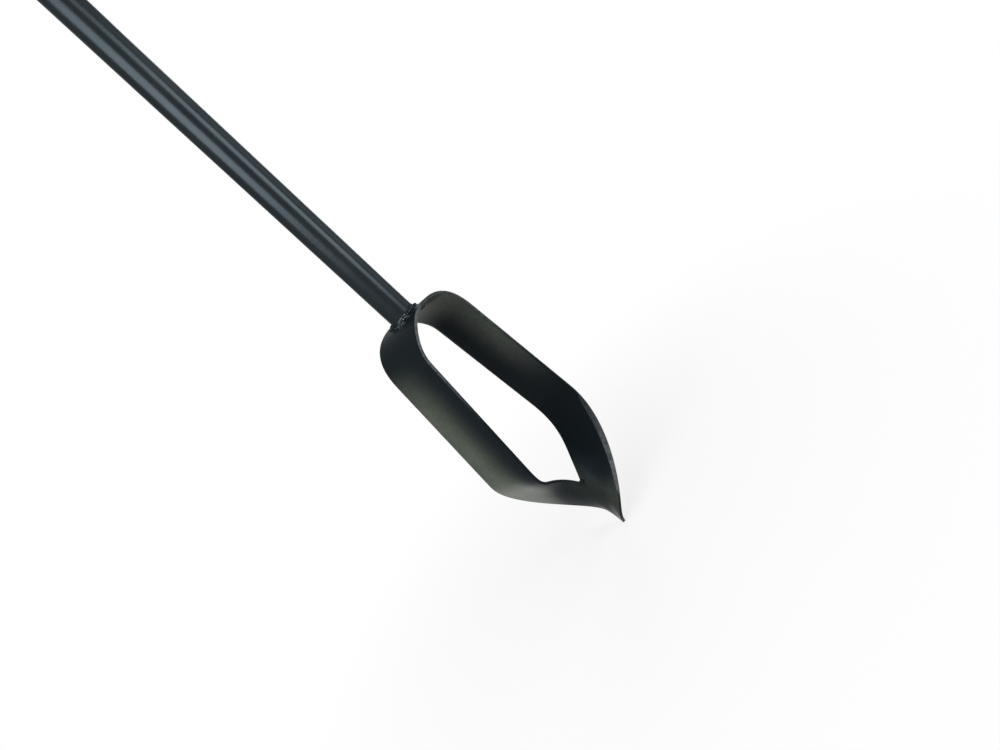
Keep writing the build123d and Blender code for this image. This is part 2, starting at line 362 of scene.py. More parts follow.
tubeFinish = paintedSteel("tubePaint", tubePaint)
bladeFinish = rubbedSheenSteel("bladePaint")
weldFinish = paintedSteel("weldPaint", weldPaint)
rubberFinish = mouldedRubber("gripRubber")
filmFinish = whiteFilm("labelFilm")
print("materials made")


# Meshes are rings of points, each with the same number of columns
mergeGap = 1e-7


def ringTurns(columns):
    return np.linspace(0, math.tau, columns, endpoint=False)


def ringFaces(rings, columns, joinEnds):
    faces = []
    for i in range(rings if joinEnds else rings - 1):
        for j in range(columns):
            a, b = i * columns, (i + 1) % rings * columns
            k = (j + 1) % columns
            faces.append((a + j, a + k, b + k, b + j))
    return faces


def ringEdges(rings, columns):
    return [(r * columns + j, r * columns + (j + 1) % columns) for r in rings for j in range(columns)]


def capFaces(rings, columns):
    return [tuple(r * columns + j for j in range(columns)) for r in (0, rings - 1)]


def buildMesh(name, points, faces, finish, fields=None, sharp=()):
    work = bmesh.new()
    layers = {key: work.verts.layers.float.new(key) for key in fields or {}}
    verts = [work.verts.new(p) for p in points]
    for key, layer in layers.items():
        for vert, value in zip(verts, fields[key]):
            vert[layer] = value
    for face in faces:
        work.faces.new([verts[i] for i in face]).smooth = True
    for first, second in sharp:
        edge = work.edges.get((verts[first], verts[second]))
        if edge:
            edge.smooth = False
    bmesh.ops.remove_doubles(work, verts=work.verts[:], dist=mergeGap)
    bmesh.ops.recalc_face_normals(work, faces=work.faces[:])
    mesh = bpy.data.meshes.new(name)
    work.to_mesh(mesh)
    work.free()
    mesh.materials.append(finish)
    return mesh


def placePiece(name, mesh, node):
    piece = addObject(name, mesh)
    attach(piece, "root")
    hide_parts(node)
    print(name, "stands for", node, "with", len(mesh.polygons), "faces")


def ease(value, low, high):  # 0 below low, 1 above high, eased between
    share = np.clip((value - low) / (high - low), 0, 1)
    return share * share * (3 - 2 * share)


def fade(value, low, high):
    return 1 - ease(value, low, high)


def mix(first, second, share):
    return first + (second - first) * share


def arcLengths(points):
    return np.concatenate([[0], np.cumsum(np.linalg.norm(np.diff(points, axis=0), axis=1))])


# Blades: one strip bent over the crown and down the flank, then twisted in to the point
bladeStrip = {
    "width": 0.055, "thickness": 0.003, "crownRadius": 0.040, "flankLean": math.radians(6.5),
    "hipHeight": 0.135, "throatHeight": 0.063, "edgeRound": 0.0005, "backRound": 0.0008,
    "crownStations": 30, "flankStations": 16, "twistStations": 72, "faceColumns": 20, "roundColumns": 4,
    "acrossSteps": 200, "wearReach": 0.0016, "crownLead": 0.0022, "crownTrail": -0.0016,
}
# Handles of the twist: along the flank from the hip, away from the hip, then places by the shaft's axis
twistRows = {
    "lead": {"ease": 0.016, "swing": (-0.030, -0.042, -0.054), "nose": (-0.011, -0.0085, 0.012),
             "beak": (-0.014, -0.020, 0.026), "end": (0, 0, 0)},
    "middle": {"ease": 0.020, "swing": (-0.014, -0.041, -0.026), "nose": (0.018, -0.005, 0.076),
               "beak": (0.006, -0.023, 0.043), "end": (0, 0, 0.048)},
    "trail": {"ease": 0.0245, "swing": (-0.0165, -0.019, -0.032), "nose": (0.0215, -0.0005, 0.096),
              "beak": (0.014, 0.005, 0.082), "end": (0, 0, 0.063)},
}
cuttingBevel = {
    "width": 0.0076, "land": 0.0008, "start": 0.09, "end": 0.72, "fullness": 0.4, "columns": 5,
    "flatFrom": 0.25, "creaseFrom": 0.12,
}
crownOuter = bladeStrip["crownRadius"] + bladeStrip["thickness"] / 2
crownCentre = hoopTop - crownOuter


def bernstein(points, shares):
    n = len(points) - 1
    weights = [math.comb(n, k) * shares**k * (1 - shares)**(n - k) for k in range(n + 1)]
    return sum(np.outer(w, p) for w, p in zip(weights, points))


def bezier(handles, shares):  # places on the curve and their headings
    handles = np.array(handles, float)
    steps = np.diff(handles, axis=0)
    return bernstein(handles, shares), len(steps) * bernstein(steps, shares)


# Leading edge, middle and trailing edge, each with its heading, and the depth of the grind
def stripRails():
    strip = bladeStrip
    half, lean = strip["width"] / 2, strip["flankLean"]
    angles = np.linspace(math.pi / 2, lean, strip["crownStations"])
    zeros = np.zeros_like(angles)
    crownOut = np.stack([np.cos(angles), zeros, np.sin(angles)], 1)
    crown = crownOut * strip["crownRadius"] + (0, 0, crownCentre)
    crownRun = np.stack([np.sin(angles), zeros, -np.cos(angles)], 1)
    down = np.array((math.sin(lean), 0, -math.cos(lean)))
    flankLength = (crown[-1, 2] - strip["hipHeight"]) / math.cos(lean)
    steps = np.linspace(0, flankLength, strip["flankStations"])[1:-1]
    flank = crown[-1] + np.outer(steps, down)
    hip = crown[-1] + flankLength * down
    plain = np.concatenate([crown, flank])
    plainRun = np.concatenate([crownRun, np.tile(down, (len(flank), 1))])
    bulge = np.sin(np.linspace(0, math.pi, len(crown)))**2
    outward = np.concatenate([crownOut * bulge[:, None], np.zeros_like(flank)])
    shares = np.linspace(0, 1, strip["twistStations"])
    rails, runs = [], []
    sides = (("lead", -half, strip["crownLead"]), ("middle", 0, 0), ("trail", half, strip["crownTrail"]))
    for row, side, lift in sides:
        handles = twistRows[row]
        start = hip + (0, side, 0)
        curve, run = bezier([start, start + down * handles["ease"], start + np.array(handles["swing"]),
                             handles["nose"], handles["beak"], handles["end"]], shares)
        rails.append(np.concatenate([plain + (0, side, 0) + outward * lift, curve]))
        runs.append(np.concatenate([plainRun, run]))
    rails[1][:len(plain)] = (rails[0] + rails[2])[:len(plain)] / 2
    length = arcLengths(rails[0][len(plain):])
    ground = (length / length[-1] - cuttingBevel["start"]) / (cuttingBevel["end"] - cuttingBevel["start"])
    ground = np.sin(math.pi * np.clip(ground, 0, 1))**cuttingBevel["fullness"]
    return np.array(rails), np.array(runs), np.concatenate([np.zeros(len(plain)), ground])


plainZone, leadZone, trailZone, bevelZone = range(4)  # parts of the strip's section


# Loop of (across from the leading edge, out from the middle, zone), and which column is the bevel's ridge
def stripSection(width, grind):
    half, r, b = bladeStrip["thickness"] / 2, bladeStrip["edgeRound"], bladeStrip["backRound"]
    arc = np.linspace(0, math.pi / 2, bladeStrip["roundColumns"] + 1)
    reach, columns = bladeStrip["wearReach"], bladeStrip["faceColumns"]
    bevelIn = max(r, cuttingBevel["width"] * grind)
    bevelUp = max(r, (bladeStrip["thickness"] - cuttingBevel["land"]) * grind)
    loop = [(r - r * math.cos(a), half - r + r * math.sin(a), leadZone) for a in arc[:-1]]
    loop += [(a, half, plainZone) for a in [r, *np.linspace(r + reach, width - b, columns)]]
    loop += [(width - b + b * math.sin(a), half - b + b * math.cos(a), trailZone) for a in arc[1:]]
    loop += [(width - b + b * math.cos(a), b - half - b * math.sin(a), trailZone) for a in arc]
    loop += [(a, -half, plainZone) for a in np.linspace(bevelIn + reach, width - b, columns)[-2::-1]]
    loop.append((bevelIn, -half, plainZone))
    ridge = len(loop) - 1
    flat = min(1.0, grind / cuttingBevel["flatFrom"])
    for s in np.linspace(0, 1, cuttingBevel["columns"] + 1)[1:]:
        turn = s * math.pi / 2
        inward = mix(1 - math.sin(turn), 1 - s, flat)
        upward = mix(1 - math.cos(turn), s, flat)
        loop.append((bevelIn * inward, bevelUp * upward - half, bevelZone if flat > 0.5 else leadZone))
    return np.array(loop), ridge


# Where the paint is rubbed and lightened as painted highlight, as shares of each stretch: crown 0 to 1, flank
# 1 to 2, twist 2 to 3
outerRubSheen = {
    "shoulder": (0.68, 1.38), "flankAcross": (0.12, 0.92), "coneAcross": (0.62, 0.98), "cone": (1.85, 2.25),
    "noseFade": (2.42, 2.62), "noseDip": 0.10, "level": 0.78, "coneLevel": 0.95,
}
innerRubSheen = {
    "crown": 0.60, "crownEnd": (0.45, 1.05), "flank": 0.52, "across": (0.05, 0.80), "hipEnd": (1.40, 1.95),
    "noseStart": (2.42, 2.62), "noseSlant": 0.5,
}
# Nose: painted light that lifts the dark crease along the shaft's axis and lightens the beak
noseRubSheen = {
    "level": 0.44, "axis": 0.26, "axisNear": (2.70, 2.95), "beakLevel": 0.66, "beak": (2.75, 2.95),
    "beakAcross": (0.12, 0.40),
}
# Edge wear: bare lighter edges with painted highlight on edge faces, and painted light on the ground bevel
# that rises towards the point
edgeWear = {
    "lead": 0.52, "leadEnd": (1.0, 1.7), "trail": 1.0, "trailEnd": (0.9, 1.6),
    "bevel": (0.36, 1.20), "bevelGain": (2.15, 2.65), "leadPolishSheen": 0.25,
}


# How far the paint is rubbed, a painted highlight on lit faces and painted shade on the hoop's inner and
# trailing faces, at a place along the strip and across it
def rubSheenShare(place, across, outside):
    cone, nearAxis = ease(place, *outerRubSheen["cone"]), ease(place, *noseRubSheen["axisNear"])
    beak = ease(place, *noseRubSheen["beak"]) * fade(across, *noseRubSheen["beakAcross"])
    axis = mix(noseRubSheen["axis"], noseRubSheen["beakLevel"], beak)
    low, high = [mix(f, c, cone) for f, c in zip(outerRubSheen["flankAcross"], outerRubSheen["coneAcross"])]
    level = mix(outerRubSheen["level"], outerRubSheen["coneLevel"], cone) * ease(place, *outerRubSheen["shoulder"])
    outer = mix(level * fade(across, low, high), outerRubSheen["noseDip"], ease(place, *outerRubSheen["noseFade"]))
    lead = innerRubSheen["flank"] * fade(across, *innerRubSheen["across"]) * fade(place, *innerRubSheen["hipEnd"])
    inner = mix(lead, innerRubSheen["crown"], fade(place, *innerRubSheen["crownEnd"]))
    nose = mix(noseRubSheen["level"], axis, nearAxis)
    inner = mix(inner, nose, ease(place - innerRubSheen["noseSlant"] * across, *innerRubSheen["noseStart"]))
    return mix(np.where(outside, outer, inner), axis, nearAxis)


def edgeWearSheenShare(place, zones):  # bare lighter edges, most on the crown, partly painted highlight on edge faces turned to the lamps, and painted light on the ground bevel, lighter towards the point
    lead, trail = [edgeWear[key] * fade(place, *edgeWear[key + "End"]) for key in ("lead", "trail")]
    bevel = mix(*edgeWear["bevel"], ease(place, *edgeWear["bevelGain"]))
    return np.choose(zones.astype(int), [0.0, lead, trail, bevel])


def bladePoints():
    rails, runs, grind = stripRails()
    points, wear, polishAndSheen, sharp, columns = [], [], [], [], 0
    places = np.concatenate([np.linspace(0, 1, bladeStrip["crownStations"]),
                             np.linspace(1, 2, bladeStrip["flankStations"])[1:-1],
                             np.linspace(2, 3, bladeStrip["twistStations"])])
    table = np.linspace(0, 1, bladeStrip["acrossSteps"])
    for i, place in enumerate(places):
        reached = arcLengths(bernstein(rails[:, i], table))
        loop, ridge = stripSection(reached[-1], grind[i])
        v = np.interp(loop[:, 0], reached, table)
        across = np.outer(1 - v, rails[1, i] - rails[0, i]) + np.outer(v, rails[2, i] - rails[1, i])
        out = np.cross(bernstein(runs[:, i], v), across)
        out /= np.linalg.norm(out, axis=1)[:, None]
        points.append(bernstein(rails[:, i], v) + loop[:, 1:2] * out)
        # wear: bare edges plus painted light on edge faces and the bevel
        wear.append(edgeWearSheenShare(place, loop[:, 2]))
        # the rub share paints highlight on lit faces and shade on the hoop's inner faces
        rub = rubSheenShare(place, loop[:, 0] / reached[-1], (loop[:, 1] > 0) & (loop[:, 2] != bevelZone))
        polishAndSheen.append(np.where(loop[:, 2] == leadZone, rub * edgeWear["leadPolishSheen"], rub))
        columns = len(loop)
        if i and min(grind[i], grind[i - 1]) > cuttingBevel["creaseFrom"]:
            sharp += [((i - 1) * columns + column, i * columns + column) for column in (ridge, columns - 1)]
    fields = {"edgeWear": np.concatenate(wear), "polishAndSheen": np.concatenate(polishAndSheen)}
    return np.concatenate(points), fields, sharp, len(places), columns


def zipEnd(start, columns):  # closes an end of the strip by triangles between its two faces
    faces, top, low = [], 0, columns - 1
    while low - top > 1:
        if columns - 1 - low >= top:
            faces.append((start + top, start + top + 1, start + low))
            top += 1
        else:
            faces.append((start + top, start + low - 1, start + low))
            low -= 1
    return faces


def makeBlades():
    points, fields, sharp, stations, columns = bladePoints()
    faces = ringFaces(stations, columns, False)
    faces += zipEnd(0, columns) + zipEnd((stations - 1) * columns, columns)
    sharp += ringEdges((0, stations - 1), columns)
    for name, node, turn in (("bladeRight", "right_blade", 1), ("bladeLeft", "left_blade", -1)):
        mesh = buildMesh(name, points * (turn, turn, 1), faces, bladeFinish, fields, sharp)
        placePiece(name, mesh, node)


makeBlades()


# Shaft: round tube coped on the crown, its top pressed flat under the crossbar
shaftTube = {
    "diameter": 0.025, "wall": 0.0025, "flatDepth": 0.012, "flatLength": 0.012, "flatBlend": 0.029,
    "facetAngle": math.radians(10), "facetColumns": 9, "sideColumns": 30, "bodyRings": 40, "blendRings": 26,
    "endRoom": 0.004,
}


def crownHeight(x, y):
    return crownCentre + math.sqrt(crownOuter**2 - x**2)


def barUnderside(x, y):
    return barHeight - math.sqrt(barRadius**2 - y**2)


def shaftOutline():  # turn of each column from the front facet round, with its place on the pressed slot
    facet = shaftTube["facetAngle"]
    rows = []
    for facing in (0, 1):
        for s in np.linspace(-1, 1, shaftTube["facetColumns"])[:-1]:
            rows.append((facing * math.pi + s * facet, facing, s, 0.0))
        for s in np.linspace(0, 1, shaftTube["sideColumns"])[:-1]:
            rows.append((facing * math.pi + facet + s * (math.pi - 2 * facet), facing, 1.0, s))
    return rows


def shaftRing(inset, pressed):  # outline of the outside or the bore, round at 0, pressed flat at 1
    radius, depth = shaftTube["diameter"] / 2 - inset, shaftTube["flatDepth"] - 2 * inset
    flatRun = math.pi * (shaftTube["diameter"] - shaftTube["flatDepth"]) / 4
    ring = []
    for angle, facing, facet, side in shaftOutline():
        circle = np.array((radius * math.sin(angle), -radius * math.cos(angle)))
        turn = math.pi * side
        slot = np.array((facet * flatRun + depth / 2 * math.sin(turn), -depth / 2 * math.cos(turn)))
        if facing:
            slot = -slot
        ring.append(mix(circle, slot, pressed))
    return np.array(ring)


def shaftWall(inset):  # rings from the cope on the crown up to the seat under the crossbar
    underside = barHeight - barRadius
    flatBottom = underside - shaftTube["flatLength"]
    roundTop = flatBottom - shaftTube["flatBlend"]
    body = np.linspace(hoopTop + shaftTube["endRoom"], roundTop, shaftTube["bodyRings"])
    blend = np.linspace(roundTop, flatBottom, shaftTube["blendRings"])[1:]
    cope, seat = shaftRing(inset, 0.0), shaftRing(inset, 1.0)
    rings = [np.column_stack([cope, [crownHeight(x, y) for x, y in cope]])]
    for height in (*body, *blend, underside - shaftTube["endRoom"]):
        ring = shaftRing(inset, ease(height, roundTop, flatBottom))
        rings.append(np.column_stack([ring, np.full(len(ring), height)]))
    return rings + [np.column_stack([seat, [barUnderside(x, y) for x, y in seat]])]


def makeShaft():
    outside, bore = shaftWall(0.0), shaftWall(shaftTube["wall"])
    rings = outside + bore[::-1]
    columns = len(rings[0])
    faces = ringFaces(len(rings), columns, True)
    sharp = ringEdges((0, len(outside) - 1, len(outside), len(rings) - 1), columns)
    mesh = buildMesh("shaft", np.concatenate(rings), faces, tubeFinish, None, sharp)
    placePiece("shaft", mesh, "shaft_tube")


makeShaft()


# Crossbar: plain round tube, open at both ends inside the grips
crossbarTube = {"wall": 0.002, "columns": 96, "rings": 40, "rimRound": 0.0004}


def lathe(profile, columns):  # profile of (along X, radius) about the crossbar's axis
    angles = ringTurns(columns)
    return np.concatenate([
        np.column_stack([np.full(columns, x), r * np.cos(angles), barHeight + r * np.sin(angles)])
        for x, r in profile])


def makeCrossbar():
    inner, rim, columns = barRadius - crossbarTube["wall"], crossbarTube["rimRound"], crossbarTube["columns"]
    outside = [(x, barRadius) for x in np.linspace(barLow.x + rim, barHigh.x - rim, crossbarTube["rings"])]
    ends = [(barHigh.x, barRadius - rim), (barHigh.x, inner), (barLow.x, inner), (barLow.x, barRadius - rim)]
    profile = outside + ends
    faces = ringFaces(len(profile), columns, True)
    sharp = ringEdges(range(len(outside), len(profile)), columns)
    mesh = buildMesh("crossbar", lathe(profile, columns), faces, tubeFinish, None, sharp)
    placePiece("crossbar", mesh, "crossbar_tube")


makeCrossbar()


# Geometry Nodes helpers
def newTree(name, sockets):  # gives a wire in the new tree, its inputs by name and its output node
    tree = bpy.data.node_groups.new(name, "GeometryNodeTree")
    for label, kind in {"Geometry": "Geometry", **sockets}.items():
        tree.interface.new_socket(label, in_out="INPUT", socket_type="NodeSocket" + kind)
    tree.interface.new_socket("Geometry", in_out="OUTPUT", socket_type="NodeSocketGeometry")
    given = tree.nodes.new("NodeGroupInput")
    use = {socket.name: Wire(tree, socket) for socket in given.outputs if socket.name}
    return Wire(tree), use, tree.nodes.new("NodeGroupOutput")


def joinParts(wire, first, second):
    joined = wire.node("GeometryNodeJoinGeometry", {"Geometry": first})
    wire.join(second, joined.socket.node.inputs["Geometry"])
    return joined


def endTree(wire, output, parts, finish):
    real = wire.node("GeometryNodeRealizeInstances", {"Geometry": parts})
    done = wire.node("GeometryNodeSetMaterial", {"Geometry": real, "Material": finish})
    wire.join(done, output.inputs["Geometry"])
    return wire.tree


def growParts(start, name, tree, values):
    grown = start.modifiers.new(name, "NODES")
    grown.node_group = tree
    for item in tree.interface.items_tree:
        if item.item_type == "SOCKET" and item.in_out == "INPUT" and item.name in values:
            grown[item.identifier] = values[item.name]


def dropObject(thing):
    mesh = thing.data
    bpy.data.objects.remove(thing)
    bpy.data.meshes.remove(mesh)


def bakePiece(name, start):
    start.name = name + "Work"
    graph = bpy.context.evaluated_depsgraph_get()
    mesh = bpy.data.meshes.new_from_object(start.evaluated_get(graph), depsgraph=graph)
    dropObject(start)
    mesh.name = name
    return mesh


# Grips: closed rubber sleeves with a bead flange, neck, collar and a ribbed barrel
gripSleeve = {
    "length": 0.118, "cap": 0.004, "cornerRadius": 0.009, "wallAtEnds": 0.0023, "wallAtMiddle": 0.0036,
    "flangeWall": 0.005, "flangeThickness": 0.0045, "neckWall": 0.0018, "neckWidth": 0.005,
    "collarWall": 0.0026, "collarWidth": 0.0025, "edgeRound": 0.0006, "edgeCut": 0.3, "lipCut": 0.2,
    "boreGap": 0.0002, "columns": 96, "arcPoints": 13, "barrelStations": 24, "capRings": (0.66, 0.33, 0.0),
    "ribCount": 48, "ribDepth": 0.00045, "ribWidth": 0.00135, "ribRoot": 0.0006, "ribInset": 0.0012,
    "ribOnCorner": 0.25, "ribEndFade": 0.15, "ribStations": 16, "ribRise": 4,
}
neckEnd = gripSleeve["flangeThickness"] + gripSleeve["neckWidth"]
barrelStart = neckEnd + gripSleeve["collarWidth"]
barrelEnd = gripSleeve["length"] - gripSleeve["cornerRadius"]
ribsEnd = barrelEnd + gripSleeve["cornerRadius"] * gripSleeve["ribOnCorner"]


def barrelRadius(along):
    share = np.clip((along - barrelStart) / (barrelEnd - barrelStart), 0, 1)
    swell = (gripSleeve["wallAtMiddle"] - gripSleeve["wallAtEnds"]) * np.sin(math.pi * share)
    return barRadius + gripSleeve["wallAtEnds"] + swell - gripSleeve["ribDepth"]


def gripProfile():  # (along from the inner end, radius), from the bore's end out over the flange to the cap
    grip = gripSleeve
    r, cornerRadius, neckStart = grip["edgeRound"], grip["cornerRadius"], grip["flangeThickness"]
    cut, lip = r * grip["edgeCut"], r * grip["lipCut"]
    flangeRound = grip["flangeThickness"] / 2
    flangeTop = barRadius + grip["flangeWall"] - flangeRound
    neck, collar = barRadius + grip["neckWall"], barRadius + grip["collarWall"]
    inside, bore = grip["length"] - grip["cap"], barRadius + grip["boreGap"]
    profile = [(inside, 0.0), (inside, bore / 2), (inside, bore), (0.0, bore)]
    profile += [(flangeRound - flangeRound * math.cos(a), flangeTop + flangeRound * math.sin(a))
                for a in np.linspace(0, math.pi, grip["arcPoints"])]
    profile += [(neckStart, neck + r), (neckStart + cut, neck + cut), (neckStart + r, neck)]
    profile += [(neckEnd - r, neck), (neckEnd - cut, neck + cut), (neckEnd, neck + r)]
    profile += [(neckEnd + cut, collar - lip), (neckEnd + r, collar)]
    profile += [(barrelStart - r, collar), (barrelStart - cut, collar - cut), (barrelStart, collar - r)]
    stations = np.linspace(barrelStart + r, barrelEnd, grip["barrelStations"])
    profile += [(x, barrelRadius(x)) for x in stations]
    corner = barrelRadius(barrelEnd) - cornerRadius
    profile += [(barrelEnd + cornerRadius * math.sin(a), corner + cornerRadius * math.cos(a))
                for a in np.linspace(0, math.pi / 2, grip["arcPoints"])[1:]]
    return profile + [(grip["length"], corner * s) for s in grip["capRings"]]


def ribbedGripTree():
    wire, use, output = newTree("ribbedGrip", {"Rib": "Object", "Rib count": "Int", "Axis height": "Float",
                                               "Rubber": "Material"})
    rib = wire.node("GeometryNodeObjectInfo", {"Object": use["Rib"]}, "Geometry")
    axis = wire.node("ShaderNodeCombineXYZ", {"Z": use["Axis height"]})
    points = wire.node("GeometryNodePoints", {"Count": use["Rib count"], "Position": axis})
    turn = wire.node("GeometryNodeInputIndex") * math.tau / use["Rib count"]
    turned = wire.node("ShaderNodeCombineXYZ", {"X": turn})
    ribs = wire.node("GeometryNodeInstanceOnPoints", {"Points": points, "Instance": rib, "Rotation": turned})
    return endTree(wire, output, joinParts(wire, use["Geometry"], ribs), use["Rubber"])


def ribMesh(name, innerEnd, side):  # one rib along the top of the barrel, about an axis through the origin
    depth, half, stations = gripSleeve["ribDepth"], gripSleeve["ribWidth"] / 2, gripSleeve["ribStations"]
    turns = np.linspace(-math.pi / 2, math.pi / 2, gripSleeve["ribRise"] + 1)
    points, grooveShades = [], []
    for k, along in enumerate(np.linspace(barrelStart + gripSleeve["ribInset"], ribsEnd, stations)):
        rise = depth * gripSleeve["ribEndFade"] if k in (0, stations - 1) else depth
        x, base = innerEnd + side * along, barrelRadius(along)
        root = base - gripSleeve["ribRoot"]
        crest = [(x, half * math.sin(a), base + rise * math.cos(a)) for a in turns]
        points += [(x, -half, root), *crest, (x, half, root)]
        # painted shade, darkest at the rib's roots
        grooveShades += [1.0, *(1.0 - math.cos(a) for a in turns), 1.0]
    columns = len(turns) + 2
    faces = ringFaces(stations, columns, False) + capFaces(stations, columns)
    return buildMesh(name, points, faces, rubberFinish, {"grooveShade": grooveShades})


def makeGrips():
    tree, profile, columns = ribbedGripTree(), gripProfile(), gripSleeve["columns"]
    faces = ringFaces(len(profile), columns, False)
    # painted shade on the barrel between the ribs
    grooveShades = [float(barrelStart < x < ribsEnd) for x, r in profile for j in range(columns)]
    for name, node, side in (("gripRight", "right_grip", 1), ("gripLeft", "left_grip", -1)):
        innerEnd = side * (gripEnd - gripSleeve["length"])
        points = lathe([(innerEnd + side * x, r) for x, r in profile], columns)
        sleeve = addObject(name, buildMesh(name, points, faces, rubberFinish, {"grooveShade": grooveShades}))
        rib = bpy.data.objects.new(name + "Rib", ribMesh(name + "Rib", innerEnd, side))
        growParts(sleeve, "ribs", tree, {"Rib": rib, "Rib count": gripSleeve["ribCount"],
                                         "Axis height": barHeight, "Rubber": rubberFinish})
        mesh = bakePiece(name, sleeve)
        dropObject(rib)
        placePiece(name, mesh, node)


makeGrips()


# Welds: a fillet in each round joint with ripples strung along it, curls of bare metal and spatter, all fused
headWeld = {
    "wallLeg": 0.0045, "baseLeg": 0.0060, "depth": 0.026, "hollow": 0.55, "columns": 120, "ridge": 0.45,
    "radius": 0.0015, "pitch": 0.0010, "squash": 0.6, "uneven": 0.2, "lumps": 0.5, "lumpScale": 150.0,
    "wander": 0.0003, "spatter": 30, "dropSize": 0.0008, "voxel": 0.0004, "seed": 7,
    "curlSize": 0.56, "curlLift": 0.0012,
    "curls": [((-157, 0.02), (-140, 0.30)), ((-137, 0.40), (-120, 0.94)), ((-162, 0.32), (-144, 0.30)),
              ((-154, 0.79), (-143, 0.72)), ((-166, 0.59), (-162, 1.16)), ((-128, 0.22), (-124, 0.30)),
              ((132, 0.20), (114, 1.15)), ((38, 0.35), (22, 0.70))],
}
teeWeld = {
    "wallLeg": 0.0058, "baseLeg": 0.0066, "depth": 0.0116, "hollow": 0.20, "columns": 140, "ridge": 0.80,
    "radius": 0.0017, "pitch": 0.0011, "squash": 0.6, "uneven": 0.3, "lumps": 0.6, "lumpScale": 170.0,
    "wander": 0.0006, "spatter": 40, "dropSize": 0.0008, "voxel": 0.00042, "seed": 11,
    "curlSize": 0.52, "curlLift": 0.0010,
    "curls": [((-131, 0.98), (-92, 0.92)), ((-88, 0.98), (-47, 0.86)), ((-162, 0.55), (-143, 0.40)),
              ((-30, 0.85), (-28, 0.15)), ((-20, 0.65), (-8, 1.0)), ((-176, 0.95), (-172, 0.25)),
              ((48, 0.90), (86, 0.96)), ((104, 0.70), (140, 0.95))],
}
seamWeld = {
    "overhang": 0.0002, "radius": 0.0024, "pitch": 0.0017, "squash": 0.5, "uneven": 0.18, "lumps": 0.2,
    "lumpScale": 200.0, "wander": 0.0003, "spatter": 12, "dropSize": 0.0006, "voxel": 0.0004, "seed": 3,
}
throatWeld = {
    "rise": 0.0004, "reach": 0.0012, "radius": 0.0022, "pitch": 0.0013, "squash": 0.6, "uneven": 0.16,
    "lumps": 0.0, "lumpScale": 200.0, "wander": 0.0002, "spatter": 3, "dropSize": 0.0005, "voxel": 0.0004,
    "seed": 5,
}
# The same in every weld: balls, lumps and drops, then the fillets and their waves, then the flow once fused
anyWeld = {
    "ballDetail": 3, "ballShown": 0.6, "lumpSpan": (0.35, 0.65), "smallDrop": 0.35,
    "sink": 0.0008, "rows": 10, "swell": 0.05, "waves": ((7, 0), (13, 2), (29, 1)), "curlPoints": 9,
    "bareReach": (0.0004, 0.0014), "flow": 0.5, "flowRounds": 2,
}
# Inputs of the bead's tree and the sizes that fill them
beadSizes = {
    "Ripple pitch": "pitch", "Bead radius": "radius", "Ripple squash": "squash", "Unevenness": "uneven",
    "Lumpiness": "lumps", "Lump scale": "lumpScale", "Wander": "wander", "Drop size": "dropSize",
}


def randomShare(wire, least, seed):
    return wire.node("FunctionNodeRandomValue", {"Min": least, "Max": 1.0, "Seed": seed}, "Value",
                     data_type="FLOAT")


def weldBeadTree():
    wire, use, output = newTree("weldBead", {
        **{label: "Float" for label in beadSizes}, "Spatter density": "Float", "Seed": "Int",
        "Fillet": "Object", "Paint": "Material"})
    path = wire.node("GeometryNodeMeshToCurve", {"Mesh": use["Geometry"]})
    path = wire.node("GeometryNodeResampleCurve", {"Curve": path, "Length": use["Ripple pitch"]},
                     mode="LENGTH")
    drift = wire.node("FunctionNodeRandomValue", {"Min": (-1, -1, -1), "Max": (1, 1, 1), "Seed": use["Seed"]},
                      "Value", data_type="FLOAT_VECTOR")
    drift = wire.node("ShaderNodeVectorMath", {"Vector": drift, "Scale": use["Wander"]}, "Vector",
                      operation="SCALE")
    path = wire.node("GeometryNodeSetPosition", {"Geometry": path, "Offset": drift})
    ball = wire.node("GeometryNodeMeshIcoSphere", {"Radius": 1.0, "Subdivisions": anyWeld["ballDetail"]},
                     "Mesh")
    size = randomShare(wire, 1.0 - use["Unevenness"], use["Seed"]) * use["Bead radius"]
    lumps = noise(wire, wire.node("GeometryNodeInputPosition"), use["Lump scale"], 1.0)
    lumps = lumps.ramp(*anyWeld["lumpSpan"])
    string = wire.node("GeometryNodeInputNamedAttribute", {"Name": "beadSize"}, "Attribute",
                       data_type="FLOAT")
    size = size * (1.0 - lumps * use["Lumpiness"]) * string
    scale = wire.node("ShaderNodeCombineXYZ", {"X": size, "Y": size, "Z": size * use["Ripple squash"]})
    along = wire.node("GeometryNodeInputTangent")
    aim = wire.node("FunctionNodeAlignRotationToVector", {"Vector": along}, axis="Z")
    ripples = wire.node("GeometryNodeInstanceOnPoints",
                        {"Points": path, "Instance": ball, "Rotation": aim, "Scale": scale})
    ripples = wire.node("GeometryNodeRealizeInstances", {"Geometry": ripples})
    fillet = wire.node("GeometryNodeObjectInfo", {"Object": use["Fillet"]}, "Geometry")
    solid = joinParts(wire, ripples, fillet)
    spots = wire.node("GeometryNodeDistributePointsOnFaces",
                      {"Mesh": solid, "Density": use["Spatter density"], "Seed": use["Seed"]}, "Points")
    drop = randomShare(wire, anyWeld["smallDrop"], use["Seed"]) * use["Drop size"]
    drops = wire.node("GeometryNodeInstanceOnPoints", {"Points": spots, "Instance": ball, "Scale": drop})
    return endTree(wire, output, joinParts(wire, solid, drops), use["Paint"])


